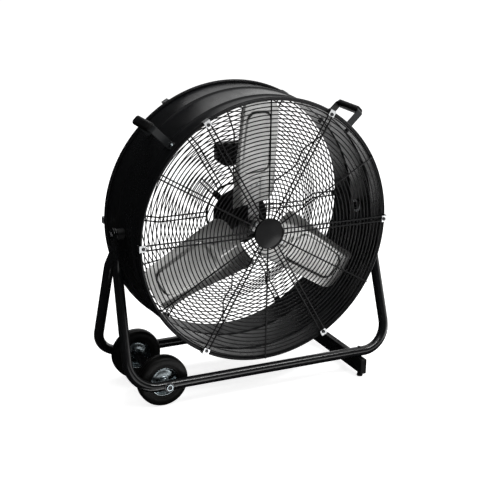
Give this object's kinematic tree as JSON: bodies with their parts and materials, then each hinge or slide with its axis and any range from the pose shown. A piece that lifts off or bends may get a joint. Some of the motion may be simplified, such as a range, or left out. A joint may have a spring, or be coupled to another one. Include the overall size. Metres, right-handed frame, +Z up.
{
  "type": "drum fan",
  "caption": "Round drum fan with wire guards and pitched sheet blades, tilting in a bent tube stand that rolls on wheels at one end.",
  "frame": {"origin": "on the floor under the middle of the drum, at the centre of the part's outer box", "axes": "+Z up, X along the tilt pivots with the wheels at -X, Y along the drum's axis with the air blown towards -Y"},
  "size_m": [0.7328, 0.303, 0.7453],
  "materials": {
    "black_coat": "semi-gloss powder coat",
    "blade_sheet": "satin, slightly dull",
    "zinc": "zinc plated, semi-gloss",
    "bright_steel": "bright plated",
    "tyre_rubber": "matte",
    "foot_rubber": "matte",
    "grip_foam": "matte",
    "strap_coat": "satin",
    "black_plastic": "fine matte"
  },
  "bodies": {
    "stand": {"front_frame_tube": "black_coat", "rear_frame_tube": "black_coat", "pivot_bolt_left": "bright_steel", "pivot_bolt_right": "bright_steel", "pivot_spacer_left": "black_plastic", "pivot_spacer_right": "black_plastic", "pivot_nut_left": "bright_steel", "pivot_nut_right": "bright_steel", "foot_bar": "black_coat", "foot_bar_cap_front": "black_plastic", "foot_bar_cap_rear": "black_plastic", "foot_pad_front": "foot_rubber", "foot_pad_rear": "foot_rubber", "wheel_axle": "bright_steel", "axle_nut": "bright_steel", "axle_tube": "black_coat"},
    "drum": {"drum_shell": "black_coat", "front_grille": "black_coat", "rear_grille": "black_coat", "front_badge": "black_plastic", "front_clip_1": "zinc", "front_clip_2": "zinc", "front_clip_3": "zinc", "front_clip_4": "zinc", "front_clip_5": "zinc", "front_clip_6": "zinc", "rear_clip_1": "zinc", "rear_clip_2": "zinc", "rear_clip_3": "zinc", "rear_clip_4": "zinc", "rear_clip_5": "zinc", "rear_clip_6": "zinc", "handle_strap_left": "strap_coat", "handle_strap_right": "strap_coat", "handle_grip_left": "grip_foam", "handle_grip_right": "grip_foam", "handle_bolt_left_front": "bright_steel", "handle_bolt_left_rear": "bright_steel", "handle_bolt_right_front": "bright_steel", "handle_bolt_right_rear": "bright_steel", "motor_housing": "black_coat", "motor_front_bell": "black_coat", "motor_rear_bell": "black_coat", "control_box": "black_plastic", "control_box_cover": "black_plastic", "cable_gland": "black_plastic", "pivot_washer_left": "zinc", "pivot_washer_right": "zinc"},
    "rotor": {"motor_shaft": "bright_steel", "fan_hub": "black_coat", "blade_1": "blade_sheet", "blade_2": "blade_sheet", "blade_3": "blade_sheet"},
    "knob": {"speed_knob": "black_plastic"},
    "wheel_front": {"tyre_front": "tyre_rubber", "wheel_rim_front": "bright_steel"},
    "wheel_rear": {"tyre_rear": "tyre_rubber", "wheel_rim_rear": "bright_steel"}
  },
  "joints": [
    {"name": "drum_tilt", "type": "hinge", "parent": "stand", "child": "drum", "pos_m": [0, 0, 0.416], "axis": [1, 0, 0], "range_deg": [-90, 90]},
    {"name": "fan_spin", "type": "hinge", "parent": "drum", "child": "rotor", "pos_m": [0, -0.04, 0.416], "axis": [0, 1, 0], "continuous": true},
    {"name": "knob_turn", "type": "hinge", "parent": "drum", "child": "knob", "pos_m": [0, 0.118, 0.564], "axis": [0, 1, 0], "range_deg": [0, 120]},
    {"name": "wheel_front_spin", "type": "hinge", "parent": "stand", "child": "wheel_front", "pos_m": [-0.26, -0.09, 0.0635], "axis": [0, 1, 0], "continuous": true},
    {"name": "wheel_rear_spin", "type": "hinge", "parent": "stand", "child": "wheel_rear", "pos_m": [-0.26, 0.09, 0.0635], "axis": [0, 1, 0], "continuous": true}
  ]
}
